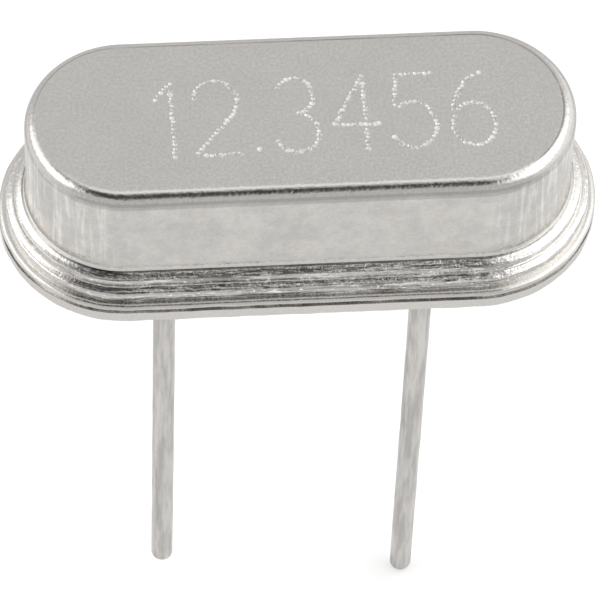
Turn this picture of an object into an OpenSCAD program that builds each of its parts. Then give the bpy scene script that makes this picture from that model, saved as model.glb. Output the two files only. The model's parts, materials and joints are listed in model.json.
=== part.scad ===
// Low-profile quartz crystal unit in a two-lead, resistance-welded metal package.
//
// Frame, in millimetres: the origin is the centre of the seating plane, which is
// the flat underside of the base plate. +Z runs up through the cover, +X runs
// along the package, and the two leads point down, towards -Z.
// Every outline seen from above is a stadium: two half circles joined by a
// straight stretch. All the outlines share the same two arc centres, so each
// step of the package is the same profile swept round them.

/* [Package] */
// Overall length, across the base plate's rim
package_l = 11.05; // [10.6:0.05:11.5]
// Overall width, across the base plate's rim
package_w = 4.65; // [4.4:0.05:5]
// Overall height above the seating plane, without the leads
package_h = 3.25; // [2.9:0.05:4]

/* [Cover] */
// Thickness of the drawn cover's wall and roof
cover_t = 0.22; // [0.15:0.01:0.28]
// Radius of the outside edge round the roof
roof_r = 0.25; // [0.15:0.01:0.35]
// Reach of the welding flange beyond the cover's wall
flange_w = 0.39; // [0.33:0.01:0.45]
// Thickness of the welding flange
flange_t = 0.24; // [0.18:0.01:0.3]
// Radius of the flange's upper edge
flange_edge_r = 0.06; // [0.03:0.01:0.08]
// Radius of the hollow where the wall turns out into the flange
foot_r = 0.2; // [0.15:0.01:0.22]
// Height of the pressed shoulder between that hollow and the flange
shoulder_h = 0.22; // [0.15:0.01:0.3]
// Radius of the shoulder's edge
shoulder_r = 0.04; // [0.01:0.01:0.05]
// Radius inside the wall where the metal turns out under the shoulder
inner_bend_r = 0.1; // [0.05:0.01:0.12]

/* [Base plate] */
// Thickness of the base plate's rim
base_t = 0.6; // [0.45:0.01:0.7]
// Reach of the base plate's rim beyond the cover's flange
rim_w = 0.125; // [0.08:0.005:0.2]
// Radius of the rim's upper edge
rim_top_r = 0.08; // [0.03:0.01:0.1]
// Radius of the rim's lower edge
rim_bottom_r = 0.24; // [0.15:0.01:0.3]
// Height of the raised middle that locates the cover
boss_h = 0.45; // [0.35:0.01:0.6]
// Clearance between the raised middle and the cover's wall
boss_gap = 0.08; // [0.04:0.01:0.12]
// Radius of the raised middle's upper edge
boss_r = 0.06; // [0.03:0.01:0.1]

/* [Leads and glass seals] */
// Distance between the two leads
lead_pitch = 4.88; // [4.6:0.02:5.1]
// Diameter of each lead, over its coat of tin
lead_d = 0.43; // [0.38:0.01:0.5]
// Thickness of the tin coat, which ends below the glass
tin_t = 0.01; // [0.005:0.001:0.02]
// Length of the left lead below the seating plane
lead_left_l = 11.9; // [3:0.1:15]
// Length of the right lead below the seating plane
lead_right_l = 12.7; // [3:0.1:15]
// Radius round the end of each lead
lead_tip_r = 0.13; // [0.05:0.01:0.18]
// Diameter of each glass seal, and of its hole in the base plate
seal_d = 1.6; // [1.3:0.05:1.9]
// Depth of the glass below the metal, on both faces of the base plate
seal_recess = 0.1; // [0.06:0.01:0.14]
// Height that the glass climbs up the lead on each face
seal_climb = 0.08; // [0.04:0.01:0.12]
// Diameter of the flat head on top of each lead
head_d = 0.8; // [0.65:0.05:1]
// Thickness of the head
head_t = 0.1; // [0.08:0.01:0.15]
// Clearance between the base plate's raised middle and the head
head_gap = 0.1; // [0.05:0.01:0.2]

/* [Spring clips] */
// Thickness of the clips' strip
clip_t = 0.08; // [0.06:0.01:0.1]
// Width of the pad that is welded to the lead's head
pad_w = 0.9; // [0.7:0.05:1.1]
// Reach of the pad from the lead's centre, inwards and outwards
pad_reach = 0.42; // [0.35:0.01:0.5]
// Width of the shelf under the crystal's end
shelf_w = 1.7; // [1.5:0.05:1.8]
// Rise from the pad up to the shelf
shelf_rise = 0.3; // [0.25:0.01:0.6]
// Inside radius of the clips' bends
clip_bend_r = 0.06; // [0.04:0.01:0.08]
// Height of the turned-up lip beyond the crystal's end
lip_h = 0.2; // [0.15:0.01:0.3]
// Clearance between the crystal's coated end and the bend up into the lip
lip_gap = 0.02; // [0.01:0.005:0.05]
// Clearance between the lip's corners and the cover's wall
clip_gap = 0.3; // [0.2:0.01:0.4]

/* [Crystal] */
// Width of the quartz blank
blank_w = 1.85; // [1.6:0.05:2]
// Thickness of the quartz blank, which sets its frequency
blank_t = 0.075; // [0.05:0.005:0.2]
// Thickness that stands for the silver films
film_t = 0.01; // [0.008:0.001:0.02]
// Length of each film's middle pad
film_l = 4.4; // [3.6:0.1:4.8]
// Width of each film's middle pad, and of its wrap round the blank's end
film_w = 1.45; // [1.35:0.05:1.55]
// Corner radius of the middle pad
film_corner_r = 0.2; // [0.1:0.05:0.4]
// Width of the track from the pad to the wrap
track_w = 0.5; // [0.3:0.05:0.8]
// Reach of the wrap along the blank
wrap_l = 0.4; // [0.3:0.05:0.6]

/* [Cement] */
// Radius of each dot of conductive cement
cement_r = 0.28; // [0.24:0.01:0.3]
// Distance between the two dots at one end
cement_pitch = 0.8; // [0.7:0.05:0.85]
// Distance from the blank's end in to the dots' centres
cement_inset = 0.15; // [0.1:0.01:0.2]

/* [Hidden] */
$fn = 72;

LEFT = -1;
RIGHT = 1;
FRONT = -1;
BACK = 1;

// Outlines seen from above: half widths, and the distance between arc centres.
arc_span = package_l - package_w;
rim_half_w = package_w / 2;
flange_half_w = rim_half_w - rim_w;
wall_half_w = flange_half_w - flange_w;
shoulder_half_w = wall_half_w + foot_r + shoulder_r;
relief_half_w = shoulder_half_w - cover_t;
cavity_half_w = wall_half_w - cover_t;
boss_half_w = cavity_half_w - boss_gap;
// Radius inside the roof's edge: the outside one less the metal's thickness.
cavity_r = max(roof_r - cover_t, 0.02);

// Levels, from the seating plane up.
flange_top = base_t + flange_t;
shoulder_top = flange_top + shoulder_h;
relief_top = shoulder_top - cover_t;
roof_under = package_h - cover_t;
boss_top = base_t + boss_h;
head_top = boss_top + head_gap + head_t;
pad_top = head_top + clip_t;
shelf_top = pad_top + shelf_rise;
blank_z = shelf_top + film_t + blank_t / 2;

// The bare wire, and where its tin coat ends: level with the seating plane, or
// with the glass where that hangs lower.
wire_r = lead_d / 2 - tin_t;
tin_top = min(0, seal_recess - seal_climb);

// Along X, from the middle outwards. The lips' corners clear the cover's round
// end, and the crystal fills the length that the two lips leave.
lead_x = lead_pitch / 2;
lip_out = arc_span / 2 + sqrt(pow(cavity_half_w - clip_gap, 2) - pow(shelf_w / 2, 2));
lip_x = lip_out - clip_t;
blank_end = lip_x - clip_bend_r - lip_gap - film_t;
blank_l = 2 * blank_end;

// Longer than any piece inside the cover, for cutting away whole regions.
beyond = package_l;

// Sweeps a profile round the stadium. In the profile, x is the distance out
// from the package's middle plane and y is the height.
module swept() {
  for (side = [LEFT, RIGHT])
    translate([side * arc_span / 2, 0, 0])
      rotate([0, 0, side == RIGHT ? -90 : 90])
        rotate_extrude(angle = 180)
          children();
  for (side = [FRONT, BACK])
    mirror([0, side == FRONT ? 1 : 0, 0])
      rotate([90, 0, 90])
        linear_extrude(arc_span, center = true)
          children();
}

// A rectangle from [x0, y0] to [x1, y1].
module block(x0, y0, x1, y1) {
  translate([x0, y0]) square([x1 - x0, y1 - y0]);
}

// What is cut off a corner at [x, y] to round it. sx and sy point from the
// corner into the metal.
module corner_cut(x, y, r, sx, sy) {
  translate([x, y])
    scale([sx, sy])
      difference() {
        translate([-r, -r]) square(2 * r);
        translate([r, r]) circle(r);
      }
}

// What is added to an inside corner at [x, y] to fill it with a hollow. sx and
// sy point from the corner out of the metal.
module hollow_fill(x, y, r, sx, sy) {
  translate([x, y])
    scale([sx, sy])
      difference() {
        square(r);
        translate([r, r]) circle(r);
      }
}

// A rectangle with rounded corners, centred on the origin.
module rounded(l, w, r) {
  square([l - 2 * r, w], center = true);
  square([l, w - 2 * r], center = true);
  for (x = [-1, 1], y = [-1, 1])
    translate([x * (l / 2 - r), y * (w / 2 - r)]) circle(r);
}

// ---- Metal package ----

// Section through the drawn cover: roof, wall, hollow foot, shoulder and flange.
// The metal keeps its thickness, so the shoulder has a relief under it.
module cover_profile() {
  difference() {
    union() {
      difference() {
        block(0, base_t, wall_half_w, package_h);
        corner_cut(wall_half_w, package_h, roof_r, -1, -1);
      }
      difference() {
        block(cavity_half_w, base_t, flange_half_w, flange_top);
        corner_cut(flange_half_w, flange_top, flange_edge_r, -1, -1);
      }
      difference() {
        block(cavity_half_w, flange_top, shoulder_half_w, shoulder_top);
        corner_cut(shoulder_half_w, shoulder_top, shoulder_r, -1, -1);
      }
      hollow_fill(wall_half_w, shoulder_top, foot_r, 1, 1);
    }
    difference() {
      block(-1, base_t - 1, cavity_half_w, roof_under);
      corner_cut(cavity_half_w, roof_under, cavity_r, -1, -1);
    }
    block(-1, base_t - 1, relief_half_w, relief_top);
    hollow_fill(cavity_half_w, relief_top, inner_bend_r, 1, 1);
  }
}

module cover() {
  color("silver") swept() cover_profile();
}

// Section through the base plate: rim, and the raised middle inside the cover.
module base_profile() {
  difference() {
    block(0, 0, rim_half_w, base_t);
    corner_cut(rim_half_w, base_t, rim_top_r, -1, -1);
    corner_cut(rim_half_w, 0, rim_bottom_r, -1, 1);
  }
  difference() {
    block(0, 0, boss_half_w, boss_top);
    corner_cut(boss_half_w, boss_top, boss_r, -1, -1);
  }
}

module base_plate() {
  color("darkgray")
    difference() {
      swept() base_profile();
      for (side = [LEFT, RIGHT])
        translate([side * lead_x, 0, -1])
          cylinder(d = seal_d, h = boss_top + 2);
    }
}

// ---- Leads in their glass seals ----

// A bead of glass that fills its hole and climbs a little up the lead.
module glass_seal(side) {
  low = seal_recess;
  high = boss_top - seal_recess;
  color("darkslategray", 0.8)
    translate([side * lead_x, 0, 0])
      rotate_extrude() {
        block(wire_r, low, seal_d / 2, high);
        hollow_fill(wire_r, low, seal_climb, 1, -1);
        hollow_fill(wire_r, high, seal_climb, 1, 1);
      }
}

// A round wire with a flat head inside the cover, and tinned down to its
// rounded tip below the base plate.
module lead(side, length) {
  color("gainsboro")
    translate([side * lead_x, 0, 0])
      rotate_extrude() {
        difference() {
          block(0, -length, lead_d / 2, tin_top);
          corner_cut(lead_d / 2, -length, lead_tip_r, -1, 1);
        }
        block(0, tin_top, wire_r, head_top);
        block(0, head_top - head_t, head_d / 2, head_top);
      }
}

// ---- Crystal and its mounting ----

// A quarter bend of the strip about [x, z]. It starts in the quarter where x
// and z are positive, and turns back by a number of quarters.
module clip_bend(x, z, quarter) {
  outer_r = clip_bend_r + clip_t;
  translate([x, z])
    rotate(90 * quarter)
      difference() {
        circle(outer_r);
        circle(clip_bend_r);
        block(-beyond, -beyond, 0, beyond);
        block(-beyond, -beyond, beyond, 0);
      }
}

// A strip that is welded on the lead's head, steps up to a shelf under the
// crystal's end, and turns up beyond it.
module spring_clip(side) {
  step_in = lead_x + pad_reach;
  step_out = step_in + clip_bend_r + clip_t;
  shelf_in = step_out + clip_bend_r;
  shelf_out = lip_x - clip_bend_r;
  color("lightsteelblue")
    mirror([side == LEFT ? 1 : 0, 0, 0])
      rotate([90, 0, 0]) {
        linear_extrude(pad_w, center = true) {
          block(lead_x - pad_reach, head_top, step_in, pad_top);
          clip_bend(step_in, pad_top + clip_bend_r, 3);
          block(step_out - clip_t, pad_top + clip_bend_r,
                step_out, shelf_top - clip_t - clip_bend_r);
          clip_bend(shelf_in, shelf_top - clip_t - clip_bend_r, 1);
        }
        linear_extrude(shelf_w, center = true) {
          block(shelf_in, shelf_top - clip_t, shelf_out, shelf_top);
          clip_bend(shelf_out, shelf_top + clip_bend_r, 3);
          block(lip_x, shelf_top + clip_bend_r, lip_out, shelf_top + lip_h);
        }
      }
}

// The strip of quartz, centred on the origin.
module blank() {
  cube([blank_l, blank_w, blank_t], center = true);
}

module quartz_blank() {
  color("aliceblue", 0.6) translate([0, 0, blank_z]) blank();
}

// A silver film on the blank's upper face. Its track runs to the left end and
// wraps round it, so that the cement and the clip both touch the film.
module film() {
  track_from = -blank_end;
  track_to = -(film_l / 2 - film_corner_r);
  translate([0, 0, blank_t / 2])
    linear_extrude(film_t) {
      rounded(film_l, film_w, film_corner_r);
      block(track_from, -track_w / 2, track_to, track_w / 2);
    }
  difference() {
    translate([-blank_end - film_t, -film_w / 2, -blank_t / 2 - film_t])
      cube([wrap_l + film_t, film_w, blank_t + 2 * film_t]);
    blank();
  }
}

module electrode_upper() {
  color("whitesmoke") translate([0, 0, blank_z]) film();
}

// The same film turned over: its track runs to the right end.
module electrode_lower() {
  color("whitesmoke") translate([0, 0, blank_z]) rotate([0, 180, 0]) film();
}

// A dot of silver-filled cement over the blank's end, against the clip's lip.
module cement(side, row) {
  color("gray")
    difference() {
      translate([side * (blank_end - cement_inset),
                 row * cement_pitch / 2,
                 blank_z + blank_t / 2])
        sphere(cement_r);
      // Nothing runs below the shelf, or in between the blank and the shelf.
      translate([-beyond, -beyond, shelf_top - beyond])
        cube([2 * beyond, 2 * beyond, beyond]);
      translate([-blank_end, -beyond, shelf_top - beyond])
        cube([blank_l, 2 * beyond, blank_z - shelf_top + beyond]);
      spring_clip(side);
      quartz_blank();
      electrode_upper();
      electrode_lower();
    }
}

cover();
base_plate();
glass_seal(LEFT);  // glass_seal_left
glass_seal(RIGHT);  // glass_seal_right
lead(LEFT, lead_left_l);  // lead_left
lead(RIGHT, lead_right_l);  // lead_right
spring_clip(LEFT);  // spring_clip_left
spring_clip(RIGHT);  // spring_clip_right
quartz_blank();
electrode_upper();
electrode_lower();
cement(LEFT, FRONT);  // cement_left_front
cement(LEFT, BACK);  // cement_left_back
cement(RIGHT, FRONT);  // cement_right_front
cement(RIGHT, BACK);  // cement_right_back
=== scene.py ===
# %% [markdown]
# # A quartz crystal unit in its welded can
#
# A quartz crystal unit is a thin strip of quartz in a sealed metal can, with two
# wires to solder it by. The construction is already there: the solids were made
# at their real size elsewhere, and arrive here as a frame that never moves. This
# lesson gives the unit its looks. It models the drawn cover with its peened
# number, the base plate and the tinned leads in more detail than the solids have,
# and gives every piece a finish of its own.

# %% Load the frame
import json
import math
import random

import bmesh
import bpy
from mathutils import Matrix, Vector, noise


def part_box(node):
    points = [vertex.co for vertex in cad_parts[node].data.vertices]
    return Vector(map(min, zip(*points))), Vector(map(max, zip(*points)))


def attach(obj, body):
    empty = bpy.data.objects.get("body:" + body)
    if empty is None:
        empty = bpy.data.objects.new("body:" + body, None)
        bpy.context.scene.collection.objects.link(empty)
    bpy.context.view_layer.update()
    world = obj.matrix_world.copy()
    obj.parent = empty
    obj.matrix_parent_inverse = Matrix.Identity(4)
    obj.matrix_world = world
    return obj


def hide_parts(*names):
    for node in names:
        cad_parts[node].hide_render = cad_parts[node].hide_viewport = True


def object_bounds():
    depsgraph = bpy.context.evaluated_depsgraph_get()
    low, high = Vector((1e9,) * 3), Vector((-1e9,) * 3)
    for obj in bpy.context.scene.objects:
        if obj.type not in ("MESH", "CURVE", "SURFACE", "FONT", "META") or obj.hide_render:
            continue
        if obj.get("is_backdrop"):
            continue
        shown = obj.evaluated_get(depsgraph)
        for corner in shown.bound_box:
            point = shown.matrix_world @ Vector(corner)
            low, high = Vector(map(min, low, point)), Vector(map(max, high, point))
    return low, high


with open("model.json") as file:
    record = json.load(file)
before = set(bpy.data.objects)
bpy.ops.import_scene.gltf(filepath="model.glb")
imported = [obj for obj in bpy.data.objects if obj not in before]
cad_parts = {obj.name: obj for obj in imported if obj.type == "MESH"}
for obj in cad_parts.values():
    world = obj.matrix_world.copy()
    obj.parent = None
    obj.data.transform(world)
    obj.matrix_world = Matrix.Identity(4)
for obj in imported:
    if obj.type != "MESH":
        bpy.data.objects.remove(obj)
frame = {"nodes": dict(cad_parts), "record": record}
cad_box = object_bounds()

print("nodes:", sorted(frame["nodes"]))

# %% [markdown]
# ## Sizes
#
# The can is 11 mm long, and its smallest rounds are 0.04 mm. Blender's bevel and
# merge tools have thresholds that are meant for larger things, so every piece is
# modelled in millimetres and scaled to metres when it is finished. The overall
# sizes are read from the frame, and only the sizes that a box can't tell are
# written here.

# %% Sizes from the frame, in millimetres
MM = 0.001


def box_mm(node):
    """Lowest and highest corner of a solid, in millimetres."""
    low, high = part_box(node)
    return low / MM, high / MM


cover_low, cover_high = box_mm("cover")
base_high = box_mm("base_plate")[1]
arc_span = 2 * (base_high.x - base_high.y)
rim_half_w = base_high.y
flange_half_w = cover_high.y
package_h = cover_high.z
base_t = cover_low.z
boss_top = base_high.z
print(f"the outline's arc centres are {arc_span:.2f} mm apart")

# %% [markdown]
# The steps of the cover and of the base plate are all rings round one outline.
# Each is given by its reach from its neighbour, as in the solids, so pieces that
# meet keep meeting.

# %% Sizes of the cover's and the base plate's steps
cover_t = 0.22
roof_r = 0.25
flange_w = 0.39
flange_t = 0.24
shoulder_w = 0.24
shoulder_h = 0.22
inner_bend_r = 0.1
rim_top_r = 0.08
rim_bottom_r = 0.24
boss_gap = 0.08
boss_r = 0.06

wall_half_w = flange_half_w - flange_w
shoulder_half_w = wall_half_w + shoulder_w
relief_half_w = shoulder_half_w - cover_t
cavity_half_w = wall_half_w - cover_t
boss_half_w = cavity_half_w - boss_gap
flange_top = base_t + flange_t
shoulder_top = flange_top + shoulder_h
relief_top = shoulder_top - cover_t
roof_under = package_h - cover_t
print(f"wall {wall_half_w:.2f}, shoulder {shoulder_half_w:.2f}, flange {flange_half_w:.2f} mm out")

# %% [markdown]
# ## The camera
#
# The unit is seen from the front and well above, so that the roof shows at full
# length and the leads hang below the can. A long lens far away keeps the leads
# nearly parallel, as in a close view of a small thing. The camera is placed by
# the point it aims at, its distance, and its azimuth and elevation, and then
# turned a little about its own axis.

# %% Camera
AIM = Vector((0.135, 0.0, -2.853)) * MM
CAMERA_DISTANCE = 106.44 * MM
CAMERA_AZIMUTH = math.radians(-6.06)
CAMERA_ELEVATION = math.radians(56.18)
CAMERA_ROLL = math.radians(2.66)
FOCAL_LENGTH = 336.5

camera_side = Vector((
    math.sin(CAMERA_AZIMUTH) * math.cos(CAMERA_ELEVATION),
    -math.cos(CAMERA_AZIMUTH) * math.cos(CAMERA_ELEVATION),
    math.sin(CAMERA_ELEVATION)))
camera_data = bpy.data.cameras.new("camera")
camera_data.lens = FOCAL_LENGTH
camera_data.clip_start = 10 * MM
camera_data.clip_end = 10000 * MM
camera = bpy.data.objects.new("camera", camera_data)
camera.rotation_mode = "QUATERNION"
camera.location = AIM + camera_side * CAMERA_DISTANCE
upright = (-camera_side).to_track_quat("-Z", "Y")
camera.rotation_quaternion = upright @ Matrix.Rotation(CAMERA_ROLL, 3, "Z").to_quaternion()
bpy.context.scene.collection.objects.link(camera)
bpy.context.scene.camera = camera
print("camera at", [round(v / MM, 1) for v in camera.location], "mm")

# %% [markdown]
# ## A section, swept round the package
#
# Every outline of this can is a stadium: two half circles joined by straights.
# A section through the metal, taken square to the outline, is the same all the
# way round, so the piece can be made as a lathe would, if a lathe could run
# straight for a while. The section starts as a flat face with sharp corners.
# Bevelling a corner's vertex by its radius gives the round, and a hollow corner
# is rounded the same way. The last edge only closes the face, and goes.

# %% The section
MERGE = 1e-4
SMALL_R, SMALL_STEPS, LARGE_STEPS = 0.1, 6, 14


def section(corners):
    """A chain of edges through (distance out, height, radius), all with x = 0."""
    bm = bmesh.new()
    verts = [bm.verts.new((0, -out, height)) for out, height, radius in corners]
    bm.faces.new(verts)
    for vert, (out, height, radius) in zip(verts, corners):
        steps = SMALL_STEPS if radius < SMALL_R else LARGE_STEPS
        if radius:
            bmesh.ops.bevel(bm, geom=[vert], offset=radius, offset_type="OFFSET",
                            segments=steps, profile=0.5, affect="VERTICES",
                            clamp_overlap=False, material=-1)
    closing = bm.edges.get((verts[0], verts[-1]))
    bmesh.ops.delete(bm, geom=[closing], context="EDGES")
    bmesh.ops.remove_doubles(bm, verts=bm.verts[:], dist=MERGE)
    return bm


# %% [markdown]
# The sweep runs along the front straight, round the right end and back along the
# rear straight. A spin with no angle and a small step moves the section along,
# and a spin of half a turn takes it round the end. One mirror makes the left
# half, and the two open rims, above and below, are filled with one flat face
# each. Normals are set right at the end, once the halves are one mesh.

# %% The sweep
STRAIGHT_STEPS = 40
ROUND_STEPS = 96


def run(bm, geom, along=0.0, turn=0.0, steps=1):
    """Moves a chain along X, or turns it about the right end's centre."""
    made = bmesh.ops.spin(bm, geom=geom, cent=(arc_span / 2, 0, 0), axis=(0, 0, 1),
                          dvec=(along / steps, 0, 0), angle=turn, steps=steps)
    return made["geom_last"]


def sweep(bm):
    """Sweeps the section in bm round the whole stadium, and closes the solid."""
    geom = bm.verts[:] + bm.edges[:]
    geom = run(bm, geom, along=arc_span / 2, steps=STRAIGHT_STEPS)
    geom = run(bm, geom, turn=math.pi, steps=ROUND_STEPS)
    run(bm, geom, along=-arc_span / 2, steps=STRAIGHT_STEPS)
    bmesh.ops.mirror(bm, geom=bm.verts[:] + bm.edges[:] + bm.faces[:], matrix=Matrix(),
                     merge_dist=MERGE, axis="X")
    bmesh.ops.remove_doubles(bm, verts=bm.verts[:], dist=MERGE)
    rims = [edge for edge in bm.edges if edge.is_boundary]
    bmesh.ops.holes_fill(bm, edges=rims, sides=0)
    bmesh.ops.recalc_face_normals(bm, faces=bm.faces[:])
    return bm


# %% [markdown]
# ## Handing a piece to the frame
#
# A finished piece is scaled to metres, shaded smooth except where two faces meet
# at a real edge, and given weighted normals, so that the flat roof stays flat
# right up to its round. It takes its finish, rides on the unit's one body, and
# hides the solid it stands for.

# %% Finished pieces
EDGE_ANGLE = math.radians(35)
DENT_ANGLE = math.radians(9)


def is_sharp(edge):
    """A real edge, or the edge of a dent in the flat roof."""
    if not edge.is_manifold or edge.calc_face_angle() > EDGE_ANGLE:
        return True
    on_roof = all(vert.co.z > package_h - MERGE for vert in edge.verts)
    return on_roof and edge.calc_face_angle() > DENT_ANGLE


def linked_object(name, data):
    """A new object in the scene."""
    made = bpy.data.objects.new(name, data)
    bpy.context.scene.collection.objects.link(made)
    return made


def finish_piece(name, bm, material, slot, *nodes):
    """Makes an object from a millimetre mesh that stands for the CAD nodes."""
    for face in bm.faces:
        face.smooth = True
    for edge in bm.edges:
        edge.smooth = not is_sharp(edge)
    bmesh.ops.scale(bm, vec=(MM, MM, MM), verts=bm.verts[:])
    mesh = bpy.data.meshes.new(name)
    bm.to_mesh(mesh)
    bm.free()
    mesh.materials.append(material)
    piece = linked_object(name, mesh)
    normals = piece.modifiers.new("weighted_normals", "WEIGHTED_NORMAL")
    normals.keep_sharp = True
    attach(piece, "root")
    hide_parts(*nodes)
    print(f"{name}: {len(mesh.vertices)} vertices, {len(mesh.polygons)} faces")


# %% [markdown]
# ## A small kit for finishes
#
# All the finishes are node materials on Object coordinates, which are metres
# here, so a noise with a grain of 0.05 mm has a scale of 1 over 0.00005. These
# helpers only save typing: they make a node or a material and fill its sockets.

# %% Material helpers
def plug(tree, socket, value):
    """Joins a node's output to a socket, or sets the socket to a plain value."""
    if isinstance(value, bpy.types.NodeSocket):
        tree.links.new(value, socket)
    else:
        socket.default_value = value


def node(tree, kind, inputs=(), **settings):
    """Adds a node. inputs maps a socket's name or number to a value or an output."""
    made = tree.nodes.new(kind)
    for key, value in settings.items():
        setattr(made, key, value)
    for key, value in dict(inputs).items():
        plug(tree, made.inputs[key], value)
    return made


def new_material(name):
    """A node material, its node tree and its Object coordinates."""
    material = bpy.data.materials.new(name)
    material.use_nodes = True
    tree = material.node_tree
    return material, tree, node(tree, "ShaderNodeTexCoord").outputs["Object"]


def surface(tree, **sockets):
    """Fills the shader's sockets, each with a number, a colour or a node's output."""
    shader = tree.nodes["Principled BSDF"]
    for name, value in sockets.items():
        plug(tree, shader.inputs[name.replace("_", " ")], value)

# %% [markdown]
# Every stain, draw mark and scratch is made in the same way: a noise, a ramp that
# picks out its strong parts, and a mask that says where on the piece it may be.

# %% Sums, ramps and noises
def maths(tree, operation, first, second=0.0):
    """The result of one sum on two numbers or sockets."""
    return node(tree, "ShaderNodeMath", {0: first, 1: second}, operation=operation).outputs[0]


def product(tree, first, *others):
    """The product of several numbers or sockets."""
    for other in others:
        first = maths(tree, "MULTIPLY", first, other)
    return first


def ramp(tree, value, start, end, low=0.0, high=1.0):
    """A smooth step from low to high as the value goes from start to end."""
    return node(tree, "ShaderNodeMapRange",
                {"Value": value, "From Min": start, "From Max": end,
                 "To Min": low, "To Max": high},
                interpolation_type="SMOOTHSTEP").outputs["Result"]


def grain(tree, vector, size_mm, detail=2.0, rough=0.5, stretch=(1, 1, 1)):
    """Noise with a grain of this size, drawn out by stretch along each axis."""
    mapping = node(tree, "ShaderNodeMapping",
                   {"Vector": vector, "Scale": [1 / s for s in stretch]})
    return node(tree, "ShaderNodeTexNoise",
                {"Vector": mapping.outputs[0], "Scale": 1 / (size_mm * MM),
                 "Detail": detail, "Roughness": rough}).outputs["Fac"]


def mix(tree, factor, first, second):
    """A blend of two colours; the node's colour sockets are 6, 7 and output 2."""
    return node(tree, "ShaderNodeMix", {0: factor, 6: first, 7: second},
                data_type="RGBA").outputs[2]


def bump(tree, height, depth_mm, under=None):
    """Bump from a height of 0 to 1, depth_mm deep, on top of another normal."""
    inputs = {"Height": height, "Strength": 1.0, "Distance": depth_mm * MM}
    if under is not None:
        inputs["Normal"] = under
    return node(tree, "ShaderNodeBump", inputs).outputs["Normal"]


def grey(value, warmth=0.5):
    """An RGBA grey; a warmth of 1 is clearly yellowish, 0 is neutral."""
    return (value * (1 + 0.06 * warmth), value, value * (1 - 0.08 * warmth), 1.0)


# %% [markdown]
# Two coordinates say where a point lies on the can: its height, and its distance
# out from the middle plane, measured square to the stadium outline. Everything
# that follows the outline, such as the flange, is a mask on those two.

# %% Where a point lies on the can
def distance_out(tree, coords):
    """How far a point is from the middle plane, square to the stadium outline."""
    parts = node(tree, "ShaderNodeSeparateXYZ", {0: coords}).outputs
    beyond = maths(tree, "SUBTRACT", maths(tree, "ABSOLUTE", parts["X"]), arc_span / 2 * MM)
    along = maths(tree, "MAXIMUM", beyond, 0.0)
    flat = node(tree, "ShaderNodeCombineXYZ", {"X": along, "Y": parts["Y"]}).outputs[0]
    return node(tree, "ShaderNodeVectorMath", {0: flat}, operation="LENGTH").outputs["Value"]


def places(tree, coords):
    """The distance out and the height, in metres."""
    height = node(tree, "ShaderNodeSeparateXYZ", {0: coords}).outputs["Z"]
    return distance_out(tree, coords), height


# %% [markdown]
# ## The cover's finish
#
# The cover is drawn from nickel silver sheet, and each part of it was worked in
# its own way. The roof keeps the sheet's satin grain, with a faint darker line a
# little off the middle, round the ends and back of its flat part. The wall was
# pulled through a die. It is softly mottled, a little darker where it bends into
# the roof, and upright draw marks run down the round ends, where the metal moved
# most; a painted sheen makes them lighter. The flange was squeezed between the
# welding electrodes.
#
# Each part has a mask that is 1 on it and 0 elsewhere. Most masks are bands of
# height or of distance out, so they follow the outline by themselves:
#
# - wall and flange are those surfaces, and end is the two round ends
# - turn is the round at the roof's edge, and bend is where the wall runs into it
# - dent is all that lies just below the roof's face, inside its flat part
# - crease is a faint darker line just outside the roof's flat, round its ends and back

# %% Masks on the cover
FLAT_HALF_W = wall_half_w - roof_r
CREASE_OFF = 0.04


def band(tree, value, rise, fall):
    """1 between two edges; each edge is a (start, end) in millimetres."""
    return product(tree, ramp(tree, value, rise[0] * MM, rise[1] * MM),
                   ramp(tree, value, fall[1] * MM, fall[0] * MM))


def cover_areas(tree, coords, out, height):
    """A mask for each part of the cover that was worked in its own way."""
    x, y, z = node(tree, "ShaderNodeSeparateXYZ", {0: coords}).outputs
    area = {"height": height, "x": x}
    area["wall"] = band(tree, height, (shoulder_top + 0.1, shoulder_top + 0.3),
                        (package_h - roof_r, package_h - 0.5 * roof_r))
    area["flange"] = ramp(tree, height, (shoulder_top + 0.06) * MM, (shoulder_top + 0.02) * MM)
    area["end"] = ramp(tree, maths(tree, "ABSOLUTE", x),
                       (arc_span / 2 - 0.2) * MM, (arc_span / 2 + 1.2) * MM)
    area["bend"] = band(tree, height, (package_h - 1.25 * roof_r, package_h - 1.1 * roof_r),
                        (package_h - 0.58 * roof_r, package_h - 0.48 * roof_r))
    area["turn"] = band(tree, height, (package_h - 0.2, package_h - 0.12),
                        (package_h - 0.01, package_h - 0.003))
    area["dent"] = product(tree, band(tree, height, (package_h - 0.2, package_h - 0.15),
                                      (package_h - 0.004, package_h - 0.001)),
                           ramp(tree, out, (FLAT_HALF_W - 0.02) * MM, (FLAT_HALF_W - 0.06) * MM))
    moved = node(tree, "ShaderNodeVectorMath", {0: coords, 1: (CREASE_OFF * MM, 0, 0)}).outputs[0]
    area["crease"] = product(
        tree, band(tree, distance_out(tree, moved), (FLAT_HALF_W + 0.025, FLAT_HALF_W + 0.045),
                   (FLAT_HALF_W + 0.06, FLAT_HALF_W + 0.08)),
        ramp(tree, height, (package_h - 0.1) * MM, (package_h - 0.05) * MM),
        ramp(tree, y, -1.5 * MM, -1.1 * MM), ramp(tree, x, -4 * MM, 1 * MM, 0.6, 1.0))
    return area
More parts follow.
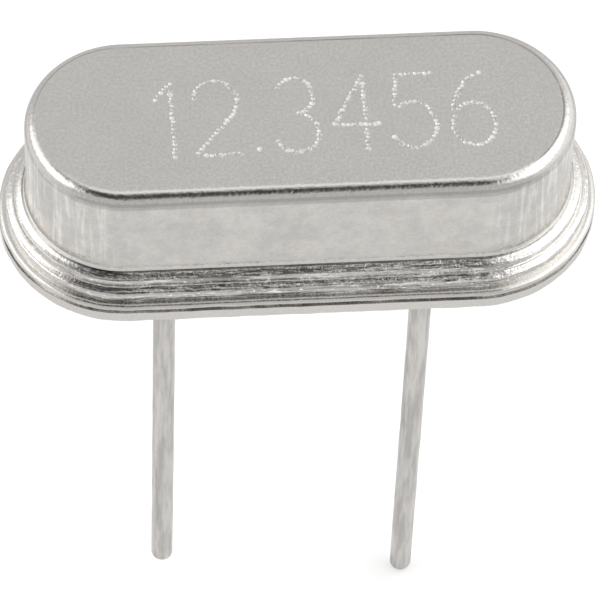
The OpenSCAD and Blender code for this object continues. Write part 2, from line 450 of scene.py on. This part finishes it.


# %% [markdown]
# A painted highlight runs along the foot of the wall. Below it, in the corner,
# painted shade makes a dark line that comes and goes. The electrodes pressed harder
# towards one end, and they slid a little, so the flange carries lines along the
# outline and short dashes, with small painted glints among them. The lines are
# noise that barely changes with X.

# %% Painted highlight and shade on the foot, marks on the flange
def foot_highlight_and_shade(tree, out, height, broad):
    """A painted highlight along the wall's foot, and painted shade in the corner below it."""
    foot_highlight = band(tree, height, (shoulder_top + 0.052, shoulder_top + 0.062),
                  (shoulder_top + 0.10, shoulder_top + 0.16))
    corner_shade = product(tree, ramp(tree, broad, 0.35, 0.6, 0.35, 0.6),
                   ramp(tree, height, (shoulder_top + 0.062) * MM, (shoulder_top + 0.05) * MM),
                   ramp(tree, out, (wall_half_w + 0.095) * MM, (wall_half_w + 0.075) * MM))
    return foot_highlight, corner_shade


def along(tree, area, out, pull):
    """Coordinates for noise that is drawn out along the outline."""
    return node(tree, "ShaderNodeCombineXYZ", {
        "X": out, "Y": area["height"],
        "Z": product(tree, area["x"], pull)}).outputs[0]


def weld_marks(tree, coords, area, out):
    """Lines and dashes as heights, how dull they are with painted glints taken off, and how worked
    the flange is.
    """
    lines = grain(tree, along(tree, area, out, 0.04), 0.08)
    dashes = grain(tree, along(tree, area, out, 0.18), 0.08, rough=0.6)
    painted_glints = grain(tree, coords, 0.075, detail=1.0)
    dull_and_glints = product(tree, ramp(tree, lines, 0.50, 0.36, 0.0, 0.36),
                   ramp(tree, dashes, 0.62, 0.45, 0.1, 1.0))
    dull_and_glints = maths(tree, "SUBTRACT", dull_and_glints, ramp(tree, dashes, 0.56, 0.66, 0.03, 0.53))
    # painted glints: small bright specks on the flange
    dull_and_glints = maths(tree, "SUBTRACT", dull_and_glints, ramp(tree, painted_glints, 0.62, 0.72, 0.0, 0.8))
    worked = product(tree, area["flange"], ramp(tree, area["end"], 0.0, 1.0, 1.0, 0.55),
                     ramp(tree, area["x"], -4 * MM, 4 * MM, 0.85, 1.45))
    return {"lines": lines, "dashes": dashes, "dull_and_glints": dull_and_glints, "worked": worked}


# %% [markdown]
# The colour is the metal's own grey times a value near 1, which every mark moves
# up or down, and so do the painted highlights and shade. The dents of the number
# take a tone of their own, each a little different, painted to stand for the way
# each dent catches the light.

# %% The cover's tone
METAL = grey(0.65)
DENT_PAINTED_TONES = (0.5, 0.84)
DRAW_PAINTED_SHEEN = 0.36
FOOT_PAINTED_HIGHLIGHT = 0.25
BEND_DARK = 0.22
CREASE_DARK = (0.18, 0.45)


def cover_grains(tree, coords):
    """The noises that the cover's tone, roughness and bump share."""
    return {"fine": grain(tree, coords, 0.055, detail=3.0, rough=0.6),
            "broad": grain(tree, coords, 0.9, detail=4.0, rough=0.6),
            "mottle": grain(tree, coords, 0.24, detail=3.0, rough=0.65),
            "peel": grain(tree, coords, 0.16),
            "drawn": grain(tree, coords, 0.10, detail=3.0, rough=0.6, stretch=(1, 1, 14))}


def scaled(tree, value, *factors):
    """The value times one plus or minus each (sign, mask)."""
    for sign, mask in factors:
        value = product(tree, value, maths(tree, sign, 1.0, mask))
    return value


def cover_tone(tree, coords, out, area, noises, weld):
    """The metal's colour with its marks, painted highlights and shade, and painted light in the
    dents.
    """
    broad, wall = noises["broad"], area["wall"]
    foot_highlight, corner_shade = foot_highlight_and_shade(tree, out, area["height"], broad)
    value = ramp(tree, broad, 0.35, 0.65, 0.985, 1.015)
    value = scaled(
        tree, value,
        ("ADD", product(tree, wall, ramp(tree, broad, 0.35, 0.65, -0.025, 0.025))),
        ("ADD", product(tree, wall, ramp(tree, noises["mottle"], 0.3, 0.7, -0.065, 0.065))),
        ("ADD", ramp(tree, noises["fine"], 0.2, 0.8, -0.07, 0.07)),
        # painted sheen: the draw marks at the round ends only make the wall lighter
        ("ADD", product(tree, wall, area["end"],
                        ramp(tree, noises["drawn"], 0.45, 0.69, 0.0, DRAW_PAINTED_SHEEN))),
        # painted highlight along the foot of the wall
        ("ADD", product(tree, foot_highlight, FOOT_PAINTED_HIGHLIGHT)),
        ("SUBTRACT", product(tree, area["bend"], BEND_DARK)),
        ("SUBTRACT", product(tree, area["crease"], ramp(tree, broad, 0.35, 0.6, *CREASE_DARK))),
        # painted shade: a dark line in the corner at the foot of the wall
        ("SUBTRACT", corner_shade),
        ("SUBTRACT", product(tree, weld["worked"], weld["dull_and_glints"])))
    tone = node(tree, "ShaderNodeVectorMath", {0: METAL[:3], "Scale": value},
                operation="SCALE").outputs[0]
    # painted light in the dents: each dent's tone stands for how it catches the light
    dent_painted_light = ramp(tree, grain(tree, coords, 0.13, detail=1.0), 0.35, 0.6, *DENT_PAINTED_TONES)
    dent_painted_light = node(tree, "ShaderNodeCombineColor", {0: dent_painted_light, 1: dent_painted_light, 2: dent_painted_light}).outputs[0]
    return mix(tree, area["dent"], tone, dent_painted_light)


# %% [markdown]
# Roughness and bump use the same noises as the tone, so a mark is duller, rougher
# and deeper in the same place.

# %% Cover material
ROUGHNESS = (0.13, 0.21)


def cover_roughness(tree, area, noises, weld):
    """Satin, rougher in the dents and where the flange was worked."""
    rough = ramp(tree, noises["fine"], 0.3, 0.7, *ROUGHNESS)
    rough = maths(tree, "ADD", rough, product(tree, area["dent"], 0.3))
    dashed = product(tree, area["flange"], ramp(tree, weld["dashes"], 0.35, 0.65, -0.03, 0.08))
    return maths(tree, "ADD", rough, dashed)


def cover_relief(tree, area, noises, weld):
    """Bump on bump: torn metal, sheet grain, draw marks and weld marks."""
    worked = weld["worked"]
    torn = maths(tree, "ADD", maths(tree, "ADD", worked, product(tree, area["turn"], 0.4)), 1.0)
    normal = bump(tree, product(tree, noises["fine"], torn), 0.003)
    normal = bump(tree, noises["peel"], 0.005, normal)
    normal = bump(tree, product(tree, noises["drawn"], area["wall"], area["end"]), 0.012, normal)
    normal = bump(tree, product(tree, weld["lines"], worked), 0.012, normal)
    return bump(tree, product(tree, weld["dashes"], worked), 0.016, normal)


def cover_material():
    material, tree, coords = new_material("nickel_silver")
    out, height = places(tree, coords)
    area = cover_areas(tree, coords, out, height)
    noises = cover_grains(tree, coords)
    weld = weld_marks(tree, coords, area, out)
    surface(tree, Metallic=1.0, Base_Color=cover_tone(tree, coords, out, area, noises, weld),
            Roughness=cover_roughness(tree, area, noises, weld),
            Normal=cover_relief(tree, area, noises, weld))
    return material


nickel_silver = cover_material()
print("nodes in the cover's material:", len(nickel_silver.node_tree.nodes))

# %% [markdown]
# ## The cover
#
# The cover is one sheet, 0.22 mm thick: roof, wall, a pressed shoulder and a
# flange, with the same turns inside. Its wall flares a little at the foot. The
# shoulder and the flange were pressed level, but the sheet sprang back, so both
# slope down outwards and end in a fine ledge. The section goes once round the
# metal, down the outside and up the inside. It starts and ends a little way in on
# the roof, so that the roof's round has a narrow flat ring beside it and the large
# flat face keeps clear of it.

# %% Cover, without its number
FLAT_RING = 0.08
FOOT_R = 0.05
LEDGE_R = 0.015
FLANGE_R = 0.05

cover_corners = [
    # the roof's edge and the wall, which flares out at its foot
    (wall_half_w - roof_r - FLAT_RING, package_h, 0),
    (wall_half_w, package_h, roof_r),
    (wall_half_w, shoulder_top + 0.5, 0),
    (wall_half_w + 0.008, shoulder_top + 0.3, 0),
    (wall_half_w + 0.03, shoulder_top + 0.065, FOOT_R),
    # the sloping shoulder, its step down and the ledge below it
    (shoulder_half_w - 0.055, shoulder_top - 0.024, 0),
    (shoulder_half_w - 0.015, shoulder_top - 0.030, LEDGE_R),
    (shoulder_half_w - 0.015, shoulder_top - 0.130, 0),
    (shoulder_half_w - 0.01, shoulder_top - 0.138, 0),
    (shoulder_half_w + 0.025, shoulder_top - 0.144, LEDGE_R),
    # the flange, down to the base plate
    (shoulder_half_w + 0.025, flange_top + 0.045, 0),
    (shoulder_half_w + 0.08, flange_top + 0.01, 0),
    (flange_half_w, flange_top - 0.005, FLANGE_R),
    (flange_half_w, base_t, 0),
    # back in under the shoulder and up the inside
    (relief_half_w, base_t, 0),
    (relief_half_w, relief_top, 0),
    (cavity_half_w, relief_top, inner_bend_r),
    (cavity_half_w, roof_under, roof_r - cover_t),
    (cavity_half_w - FLAT_RING, roof_under, 0),
]
cover_bm = sweep(section(cover_corners))
print("cover faces:", len(cover_bm.faces))

# %% [markdown]
# ## The number on the roof
#
# A crystal's frequency is peened on its roof, dot by dot, with a fine pin. The
# figures here are a plain run of digits in the same place. Text made flat would
# look printed, so each dot is a real dent. A digit is a few strokes, straight or
# round, in a cell one wide and one high, and dots are set along them at an even
# pitch.

# %% Strokes
DIGIT_H = 1.63
DIGIT_W = 0.80
DOT_PITCH = 0.086


def line(x0, y0, x1, y1):
    """Dots along a straight stroke, in millimetres from the digit's lower left."""
    start = Vector((x0 * DIGIT_W, y0 * DIGIT_H))
    stroke = Vector((x1 * DIGIT_W, y1 * DIGIT_H)) - start
    count = max(1, round(stroke.length / DOT_PITCH))
    return [start + stroke * i / count for i in range(count + 1)]


def arc(x, y, rx, ry, start, end):
    """Dots along a round stroke about (x, y), from one angle to another, in degrees."""
    centre = Vector((x * DIGIT_W, y * DIGIT_H))
    rx, ry = rx * DIGIT_W, ry * DIGIT_H
    turn = math.radians(end - start)
    count = max(1, round(abs(turn) * (rx + ry) / 2 / DOT_PITCH))
    angles = [math.radians(start) + turn * i / count for i in range(count + 1)]
    return [centre + Vector((rx * math.cos(a), ry * math.sin(a))) for a in angles]


DIGITS = {
    "1": line(0.0, 0.78, 0.35, 1.0) + line(0.35, 0.95, 0.38, 0.0),
    "2": (arc(0.5, 0.72, 0.5, 0.28, 170, -28) + line(0.9, 0.55, 0.05, 0.04)
          + line(0.1, 0.0, 1.0, 0.0)),
    "3": arc(0.45, 0.76, 0.42, 0.24, 150, -80) + arc(0.46, 0.26, 0.5, 0.26, 75, -155),
    "4": line(0.68, 1.0, 0.0, 0.36) + line(0.08, 0.34, 1.0, 0.34) + line(0.7, 0.95, 0.7, 0.0),
    "5": (line(0.92, 1.0, 0.14, 1.0) + line(0.12, 0.95, 0.06, 0.58)
          + arc(0.45, 0.31, 0.52, 0.31, 125, -150)),
    "6": arc(0.86, 0.3, 0.84, 0.7, 100, 165) + arc(0.5, 0.29, 0.48, 0.29, 170, -180),
}
print("dots in each digit:", {name: len(dots) for name, dots in DIGITS.items()})

# %% [markdown]
# The number is set from left to right on one base line. The digits share one
# width, except for the narrow 1 and the point. Where two strokes meet, a dot that
# would land almost on another is left out.

# %% Where each digit goes
NUMBER = "12.3456"
NUMBER_LEFT = -2.62
NUMBER_BASE = -0.87
DIGIT_GAP = 0.26
ONE_W = 0.42
POINT_W = 0.16
POINT_UP = 0.08
POINT_SIZE = 1.5
NEAREST = 0.068


def number_dots():
    """Every dot of the number, on the roof."""
    dots, left = [], NUMBER_LEFT
    for sign in NUMBER:
        corner = Vector((left, NUMBER_BASE))
        if sign == ".":
            dots.append((corner + Vector((POINT_W / 2, POINT_UP)), POINT_SIZE))
            left += POINT_W + DIGIT_GAP
            continue
        for dot in DIGITS[sign]:
            place = corner + dot
            if all((place - other).length > NEAREST for other, size in dots):
                dots.append((place, 1.0))
        left += (ONE_W if sign == "1" else DIGIT_W) + DIGIT_GAP
    print(f"number: {len(dots)} dots, from {NUMBER_LEFT:.2f} to {left - DIGIT_GAP:.2f} mm")
    return dots


# %% [markdown]
# The dents are cut with blunt pins, cones with a flat tip, that dip about a
# hundredth of a millimetre into the roof. A real pin bounces, so each one is a
# little off its place, and wider, narrower, deeper or shallower than its
# neighbour, from a seeded random source. Some run into each other.

# %% Pins
DOT_R = 0.05
DOT_DEPTH = 0.008
BLUNT = 0.4
PIN_SIDES = 16
SWAY = 0.012
PROUD = 0.0005
SEED = 12
WIDER = (0.7, 1.15)
DEEPER = (0.6, 1.3)


def dent_cutter(dots):
    """One mesh with a blunt pin for each dot, in millimetres."""
    pin = random.Random(SEED)
    cutter = bmesh.new()
    for place, size in dots:
        radius = DOT_R * size * pin.uniform(*WIDER)
        depth = DOT_DEPTH * size * pin.uniform(*DEEPER)
        tip = radius * BLUNT
        top = radius + (radius - tip) * PROUD / depth
        centre = (place.x + pin.uniform(-SWAY, SWAY), place.y + pin.uniform(-SWAY, SWAY),
                  package_h + (PROUD - depth) / 2)
        bmesh.ops.create_cone(cutter, cap_ends=True, segments=PIN_SIDES, radius1=tip, radius2=top,
                              depth=depth + PROUD, matrix=Matrix.Translation(centre))
    return cutter


# %% [markdown]
# The exact solver of the Boolean modifier cuts all the dents at once, overlaps
# allowed. A modifier works on objects, so both meshes are objects for a moment.
# The result is taken as a new mesh, and no cutter is left.

# %% Cutting
def cut(bm, cutter, overlapping=False):
    """Cuts closed meshes out of another one with the Boolean modifier."""
    objects = []
    for name, source in (("body", bm), ("cutter", cutter)):
        mesh = bpy.data.meshes.new(name)
        source.to_mesh(mesh)
        source.free()
        objects.append(linked_object(name, mesh))
    body, tool = objects
    boolean = body.modifiers.new("cut", "BOOLEAN")
    boolean.operation = "DIFFERENCE"
    boolean.solver = "EXACT"
    boolean.use_self = overlapping
    boolean.object = tool
    graph = bpy.context.evaluated_depsgraph_get()
    result = bmesh.new()
    result.from_mesh(body.evaluated_get(graph).to_mesh())
    for done in objects:
        bpy.data.meshes.remove(done.data)
    return result


cover_bm = cut(cover_bm, dent_cutter(number_dots()), overlapping=True)
print("cover faces with the number:", len(cover_bm.faces))

# %% [markdown]
# A real flange is never as even as a drawing: the press and the welding
# electrodes leave it wavy by a few thousandths of a millimetre, and that is what
# makes its highlights break up. The outer vertices below the shoulder are moved,
# mostly inwards, by a smooth noise that changes along the outline and runs from -1
# to 1.

# %% A pressed and welded edge
WELD_DEPTH = 0.012
WELD_GRAIN = 0.35
FLATTENED = 4
MOSTLY_IN = 0.5


def unevenness(bm, below, inside):
    """Moves the vertices below one height and outside one distance in and out."""
    for vert in bm.verts:
        x, y, z = vert.co
        centre = Vector((max(-arc_span / 2, min(arc_span / 2, x)), 0, z))
        outwards = vert.co - centre
        if z < below and outwards.length > inside:
            push = noise.noise(Vector((x, y, FLATTENED * z)) / WELD_GRAIN) - MOSTLY_IN
            vert.co += outwards.normalized() * WELD_DEPTH * push


unevenness(cover_bm, shoulder_top + 0.01, shoulder_half_w - 0.05)
finish_piece("drawn_cover", cover_bm, nickel_silver, "cover", "cover")

# %% [markdown]
# ## The base plate
#
# The base is a thicker plate of nickel-plated steel. Its rim stands a little
# proud of the flange and is rounded below, and its middle is raised to locate
# the cover. The press sheared its edge half way and tore the rest, which leaves a
# fine groove round the rim: a real groove, darkened with painted shade that is
# stronger in some places than in others.

# %% Base plate material
SHEAR_LOW = 0.41
SHEAR_HIGH = 0.515
SHEAR_DEPTH = 0.035


def base_material():
    material, tree, coords = new_material("nickel_plated_steel")
    out, height = places(tree, coords)
    fine = grain(tree, coords, 0.06, detail=3.0)
    broad = grain(tree, coords, 0.8)
    ring_vector = node(tree, "ShaderNodeCombineXYZ", {"X": out, "Y": height}).outputs[0]
    rings = grain(tree, ring_vector, 0.05, detail=3.0)
    rim = ramp(tree, height, 0.02 * MM, 0.1 * MM)
    tone = mix(tree, broad, grey(0.66), grey(0.74))
    # painted shade in the sheared groove, stronger in some places along the rim
    groove = product(tree, band(tree, height, (SHEAR_LOW - 0.02, SHEAR_LOW),
                                (SHEAR_HIGH, SHEAR_HIGH + 0.02)),
                     ramp(tree, broad, 0.42, 0.58, 0.0, 0.6))
    tone = mix(tree, groove, tone, grey(0.34))
    normal = bump(tree, fine, 0.002)
    normal = bump(tree, product(tree, rings, rim), 0.006, normal)
    surface(tree, Metallic=1.0, Base_Color=tone, Normal=normal,
            Roughness=ramp(tree, fine, 0.3, 0.7, 0.2, 0.32))
    return material


nickel_plate = base_material()
print("the base plate's groove is from", SHEAR_LOW, "to", SHEAR_HIGH, "mm up")

# %% [markdown]
# The plate's section goes out along the underside, up round the rim and in over
# the raised middle. It is swept like the cover. The two holes are cut with
# cylinders of the glass's own size, so the steel meets the glass all round.

# %% Base plate
seal_low, seal_high = box_mm("glass_seal_right")
seal_r = (seal_high.y - seal_low.y) / 2
lead_x = (seal_high.x + seal_low.x) / 2

base_corners = [
    (rim_half_w - rim_bottom_r - FLAT_RING, 0, 0),
    (rim_half_w, 0, rim_bottom_r),
    (rim_half_w, SHEAR_LOW, 0),
    (rim_half_w - SHEAR_DEPTH, SHEAR_LOW, 0),
    (rim_half_w - SHEAR_DEPTH, SHEAR_HIGH, 0),
    (rim_half_w, SHEAR_HIGH, 0),
    (rim_half_w, base_t, rim_top_r),
    (boss_half_w, base_t, 0),
    (boss_half_w, boss_top, boss_r),
    (boss_half_w - boss_r - FLAT_RING, boss_top, 0),
]
base_bm = sweep(section(base_corners))
drills = bmesh.new()
DRILL_L = 4 * boss_top
for side in (-1, 1):
    bmesh.ops.create_cone(drills, cap_ends=True, segments=ROUND_STEPS, radius1=seal_r,
                          radius2=seal_r, depth=DRILL_L,
                          matrix=Matrix.Translation((side * lead_x, 0, 0)))
base_bm = cut(base_bm, drills)
unevenness(base_bm, base_t + 0.01, flange_half_w)
finish_piece("base_plate_pressed", base_bm, nickel_plate, "base", "base_plate")

# %% [markdown]
# ## The leads
#
# The leads are round wire, dipped in tin. The wire was drawn, which leaves fine
# lines along it, and tin runs and sets unevenly, so a lead shows soft lumps along
# its length and a rounder end where the last drop hung.

# %% Lead material
def tin_material():
    material, tree, coords = new_material("tinned_wire")
    fine = grain(tree, coords, 0.06, detail=3.0, stretch=(1, 1, 3))
    runs = grain(tree, coords, 0.5, detail=2.0, stretch=(1, 1, 2))
    drawn = grain(tree, coords, 0.14, detail=3.0, rough=0.6, stretch=(1, 1, 9))
    tone = mix(tree, ramp(tree, drawn, 0.33, 0.67), grey(0.53), grey(0.76))
    normal = bump(tree, fine, 0.004)
    normal = bump(tree, drawn, 0.01, normal)
    normal = bump(tree, runs, 0.01, normal)
    surface(tree, Metallic=1.0, Base_Color=tone, Normal=normal,
            Roughness=ramp(tree, runs, 0.3, 0.7, 0.34, 0.46))
    return material


tinned_wire = tin_material()
print("nodes in the lead's material:", len(tinned_wire.node_tree.nodes))

# %% [markdown]
# Each lead is a spin of half its section, from the solid's own sizes, with rings
# along its length that a gentle noise then moves in and out.

# %% Leads
TIP_R = 0.13
TIN_T = 0.01
LEAD_RING = 0.1
LEAD_TURN = 48
TIN_LUMPS = 0.006
LUMP_GRAIN = 0.4
OWN_LUMPS = 9
TIP_STEPS = 10
HEAD_T = 0.1
LEAD_D = 0.43


def lead(name, side, node_name):
    """Turns one lead in millimetres, with its head inside the can."""
    low, high = box_mm(node_name)
    lead_r = LEAD_D / 2
    head_r = (high.x - low.x) / 2
    bm = bmesh.new()
    corners = [(0, low.z, 0), (lead_r, low.z, TIP_R), (lead_r, 0, 0), (lead_r - TIN_T, 0, 0),
               (lead_r - TIN_T, high.z - HEAD_T, 0), (head_r, high.z - HEAD_T, 0),
               (head_r, high.z, 0), (0, high.z, 0)]
    verts = [bm.verts.new((out, 0, z)) for out, z, radius in corners]
    bm.faces.new(verts)
    bmesh.ops.bevel(bm, geom=[verts[1]], offset=TIP_R, offset_type="OFFSET",
                    segments=TIP_STEPS, profile=0.5, affect="VERTICES",
                    clamp_overlap=False, material=-1)
    closing = bm.edges.get((verts[0], verts[-1]))
    bmesh.ops.delete(bm, geom=[closing], context="EDGES")
    long_edge = max(bm.edges, key=lambda edge: edge.calc_length())
    bmesh.ops.subdivide_edges(bm, edges=[long_edge],
                              cuts=round(long_edge.calc_length() / LEAD_RING))
    bmesh.ops.spin(bm, geom=bm.verts[:] + bm.edges[:], cent=(0, 0, 0), axis=(0, 0, 1),
                   angle=2 * math.pi, steps=LEAD_TURN, use_merge=True)
    bmesh.ops.remove_doubles(bm, verts=bm.verts[:], dist=MERGE)
    bmesh.ops.recalc_face_normals(bm, faces=bm.faces[:])
    for vert in bm.verts:
        outwards = Vector((vert.co.x, vert.co.y, 0))
        if vert.co.z < -LEAD_RING and outwards.length > MERGE:
            place = Vector((vert.co.x, vert.co.y, vert.co.z / 2 + OWN_LUMPS * side))
            lump = noise.noise(place / LUMP_GRAIN)
            vert.co += outwards.normalized() * TIN_LUMPS * (lump - MOSTLY_IN)
    bmesh.ops.translate(bm, vec=(side * lead_x, 0, 0), verts=bm.verts[:])
    finish_piece(name, bm, tinned_wire, "lead", node_name)


lead("tinned_lead_left", -1, "lead_left")
lead("tinned_lead_right", 1, "lead_right")

# %% [markdown]
# ## Glass, and what is sealed inside
#
# The leads pass through beads of dark glass, which show only from below. The
# solids have the right shape for these and for the crystal with its clips, so
# they keep their meshes and take a finish. Nobody sees the crystal in a closed
# can, but someone may cut this one open.
#
# Melted glass keeps a few small bubbles and streaks. The clips are rolled strip,
# so their grain runs lengthways. The blank is lapped, which leaves clear quartz a
# little frosted. The films are silver from a vacuum chamber, with a thin haze, and
# the cement is a resin full of silver flakes.

# %% Finishes for the solids that stay
def glass_material():
    material, tree, coords = new_material("sealing_glass")
    bubbles = node(tree, "ShaderNodeTexVoronoi",
                   {"Vector": coords, "Scale": 1 / (0.12 * MM)}).outputs["Distance"]
    spots = ramp(tree, bubbles, 0.25, 0.1, 0.0, 0.4)
    streaks = grain(tree, coords, 0.5)
    tone = mix(tree, streaks, (0.012, 0.02, 0.022, 1), (0.03, 0.045, 0.045, 1))
    tone = mix(tree, spots, tone, (0.12, 0.15, 0.15, 1))
    surface(tree, Base_Color=tone, Normal=bump(tree, streaks, 0.01), Roughness=0.08,
            IOR=1.52, Coat_Weight=0.5, Coat_Roughness=0.04)
    return material


def strip_material():
    material, tree, coords = new_material("spring_strip")
    rolled = grain(tree, coords, 0.03, stretch=(20, 1, 1))
    surface(tree, Metallic=1.0, Base_Color=mix(tree, rolled, grey(0.5), grey(0.62)),
            Roughness=ramp(tree, rolled, 0.3, 0.7, 0.22, 0.36),
            Normal=bump(tree, rolled, 0.002))
    return material


def quartz_material():
    material, tree, coords = new_material("lapped_quartz")
    lapping = grain(tree, coords, 0.015)
    tone = mix(tree, lapping, (0.86, 0.9, 0.92, 1), (0.95, 0.97, 0.98, 1))
    surface(tree, IOR=1.54, Transmission_Weight=0.85, Base_Color=tone,
            Roughness=ramp(tree, lapping, 0.3, 0.7, 0.18, 0.32),
            Normal=bump(tree, lapping, 0.0008))
    return material


def film_material():
    material, tree, coords = new_material("silver_film")
    haze = grain(tree, coords, 0.3, detail=3.0)
    surface(tree, Metallic=1.0, Base_Color=mix(tree, haze, grey(0.82), grey(0.9, 0.0)),
            Roughness=ramp(tree, haze, 0.3, 0.7, 0.12, 0.24))
    return material


def cement_material():
    material, tree, coords = new_material("silver_cement")
    flakes = grain(tree, coords, 0.02, detail=4.0, rough=0.7)
    surface(tree, Metallic=0.4, Base_Color=mix(tree, flakes, grey(0.3), grey(0.55, 0.0)),
            Roughness=ramp(tree, flakes, 0.3, 0.7, 0.45, 0.7),
            Normal=bump(tree, flakes, 0.006))
    return material


# %% [markdown]
# The frame's record names a material slot for each solid, and each slot has one
# finish.

# %% Each solid takes its finish
finishes = {"seal_glass": glass_material(), "clip": strip_material(),
            "quartz": quartz_material(), "film": film_material(),
            "cement": cement_material()}
for part in frame["record"]["subparts"]:
    if part["material_slot"] in finishes:
        solid = frame["nodes"][part["node"]]
        for slot in solid.material_slots:
            slot.material = finishes[part["material_slot"]]
print("finished solids:", ", ".join(finishes))

# %% [markdown]
# ## The floor
#
# The unit stands on the tip of its longer lead, on a plain white floor. The floor
# is a matt surface that takes the unit's soft shadow. A little light of its own,
# seen only by the camera, lifts it to plain white. The metal sees the floor too:
# there it is a touch lighter near the unit and well out to both sides, like
# reflecting cards laid beside it.

# %% Floor material
FLOOR_TONE = 0.65
FLOOR_GLOW = 0.42
NEAR_GLOW, NEAR_EDGE = 0.18, (32 * MM, 18 * MM)
CARD_GLOW, CARD_EDGE = 0.3, (15 * MM, 30 * MM)
CARD_SLANT = 0.8


def floor_material():
    material, tree, coords = new_material("white_floor")
    rays = node(tree, "ShaderNodeLightPath").outputs
    seen = maths(tree, "MAXIMUM", rays["Is Camera Ray"], rays["Is Transmission Ray"])
    flat = node(tree, "ShaderNodeMapping", {"Vector": coords, "Scale": (0.3, 1, 0)}).outputs[0]
    away = node(tree, "ShaderNodeVectorMath", {0: flat}, operation="LENGTH").outputs["Value"]
    sides = node(tree, "ShaderNodeVectorMath", {0: coords}, operation="ABSOLUTE").outputs[0]
    x, y, z = node(tree, "ShaderNodeSeparateXYZ", {0: sides}).outputs
    aside = maths(tree, "SUBTRACT", x, product(tree, y, CARD_SLANT))
    mirrored = maths(tree, "ADD", ramp(tree, aside, *CARD_EDGE, 0.0, CARD_GLOW),
                     ramp(tree, away, *NEAR_EDGE, 0.0, NEAR_GLOW))
    glow = maths(tree, "ADD", product(tree, seen, FLOOR_GLOW),
                 product(tree, rays["Is Glossy Ray"], mirrored))
    surface(tree, Base_Color=(FLOOR_TONE, FLOOR_TONE, FLOOR_TONE, 1), Roughness=0.9,
            Specular_IOR_Level=0.0, Emission_Color=(1, 1, 1, 1), Emission_Strength=glow)
    return material


# %% [markdown]
# The floor itself is one large flat face, just under the tip of the longer lead.
# It is stage, not a piece of the unit.

# %% Floor
FLOOR_HALF = 1.0
FLOOR_GAP = 0.01 * MM

floor_bm = bmesh.new()
bmesh.ops.create_grid(floor_bm, x_segments=1, y_segments=1, size=FLOOR_HALF,
                      matrix=Matrix.Translation((0, 0, cad_box[0].z - FLOOR_GAP)))
floor_mesh = bpy.data.meshes.new("floor")
floor_bm.to_mesh(floor_mesh)
floor_bm.free()
floor_mesh.materials.append(floor_material())
floor = linked_object("floor", floor_mesh)
floor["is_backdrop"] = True
print("floor at", round((cad_box[0].z - FLOOR_GAP) / MM, 2), "mm")

# %% [markdown]
# ## The light
#
# Satin metal shows little but what is round it, so the light is drawn as a
# surrounding: a pale studio tent with a large soft box high up on each side, a
# small lamp overhead, paler cloth at the far sides, and a dark gap in front,
# where the camera looks in. The world's strength is a sum of such patches. A
# round one is a smooth step on the angle from its middle. A soft box is flat, so
# it is a product of two steps, across and up, and it can be turned about its own
# middle.

# %% Studio tent
NEARLY_ZERO = 0.01

world = bpy.data.worlds.new("studio_tent")
world.use_nodes = True
bpy.context.scene.world = world
sky = world.node_tree
direction = node(sky, "ShaderNodeTexCoord").outputs["Generated"]


def towards(x, y):
    """A direction x degrees right of straight up, and y degrees to the back."""
    angle = math.radians(math.hypot(x, y))
    return Vector((x, y, 0)).normalized() * math.sin(angle) + Vector((0, 0, math.cos(angle)))


def patch(middle, inner, outer, strength):
    """Light from within some degrees of a direction, fading to nothing at outer."""
    dot = node(sky, "ShaderNodeVectorMath", {0: direction, 1: middle},
               operation="DOT_PRODUCT").outputs["Value"]
    return ramp(sky, dot, math.cos(math.radians(outer)), math.cos(math.radians(inner)),
                0.0, strength)


def softbox(middle, half_w, half_h, strength, turn=0, soft=0.35):
    """A rectangle of light that faces the unit; its half sizes and turn in degrees."""
    across = middle.cross(Vector((0, -1, 0))).normalized()
    across = Matrix.Rotation(math.radians(turn), 3, middle) @ across
    ahead, side, rise = (
        node(sky, "ShaderNodeVectorMath", {0: direction, 1: axis},
             operation="DOT_PRODUCT").outputs["Value"]
        for axis in (middle, across, across.cross(middle)))
    light = product(sky, maths(sky, "GREATER_THAN", ahead, 0.0), strength)
    for offset, half in ((side, half_w), (rise, half_h)):
        slope = maths(sky, "DIVIDE", maths(sky, "ABSOLUTE", offset),
                      maths(sky, "MAXIMUM", ahead, NEARLY_ZERO))
        edge = math.tan(math.radians(half))
        light = product(sky, light, ramp(sky, slope, (1 + soft) * edge, (1 - soft) * edge))
    return light


# %% [markdown]
# The tent is a little lighter towards the back. Each lamp adds its light to it,
# and the gap in front then takes light away. Soft boxes have wide, soft borders,
# because hard ones would draw lines on the metal.

# %% The light from each side
TENT = 0.69
BACK_LIFT = 0.05
OPENING = 0.92

back = node(sky, "ShaderNodeSeparateXYZ", {0: direction}).outputs["Y"]
light = maths(sky, "ADD", TENT, product(sky, BACK_LIFT, back))
lamps = {
    "left box": softbox(towards(-51, 5), half_w=20, half_h=30, strength=1.25, turn=-6),
    "right box": softbox(towards(40, -4), half_w=20, half_h=36, strength=1.2, turn=18),
    "overhead lamp": patch(towards(0, 15), inner=5, outer=12, strength=0.45),
    "right cloth": patch(towards(92, 25), inner=20, outer=62, strength=0.5),
    "left cloth": patch(towards(-100, 10), inner=15, outer=50, strength=0.15),
}
for lamp in lamps.values():
    light = maths(sky, "ADD", light, lamp)
opening = softbox(towards(-9, -24), half_w=22, half_h=20, strength=OPENING, turn=-30,
                  soft=0.3)
light = product(sky, light, maths(sky, "SUBTRACT", 1.0, opening))
background = sky.nodes["Background"]
sky.links.new(light, background.inputs["Strength"])
background.inputs["Color"].default_value = (1.0, 1.0, 0.995, 1)
print("the tent's lamps:", ", ".join(lamps))

# %% [markdown]
#
# The box of the solids and the box of the dressed model are printed, to show
# that nothing here changed the unit's size.

# %% Plain settings and boxes
bpy.context.scene.view_settings.view_transform = "Standard"

visual_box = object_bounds()
for name, corners in (("solids", cad_box), ("dressed", visual_box)):
    print(name, [round(v / MM, 3) for corner in corners for v in corner])
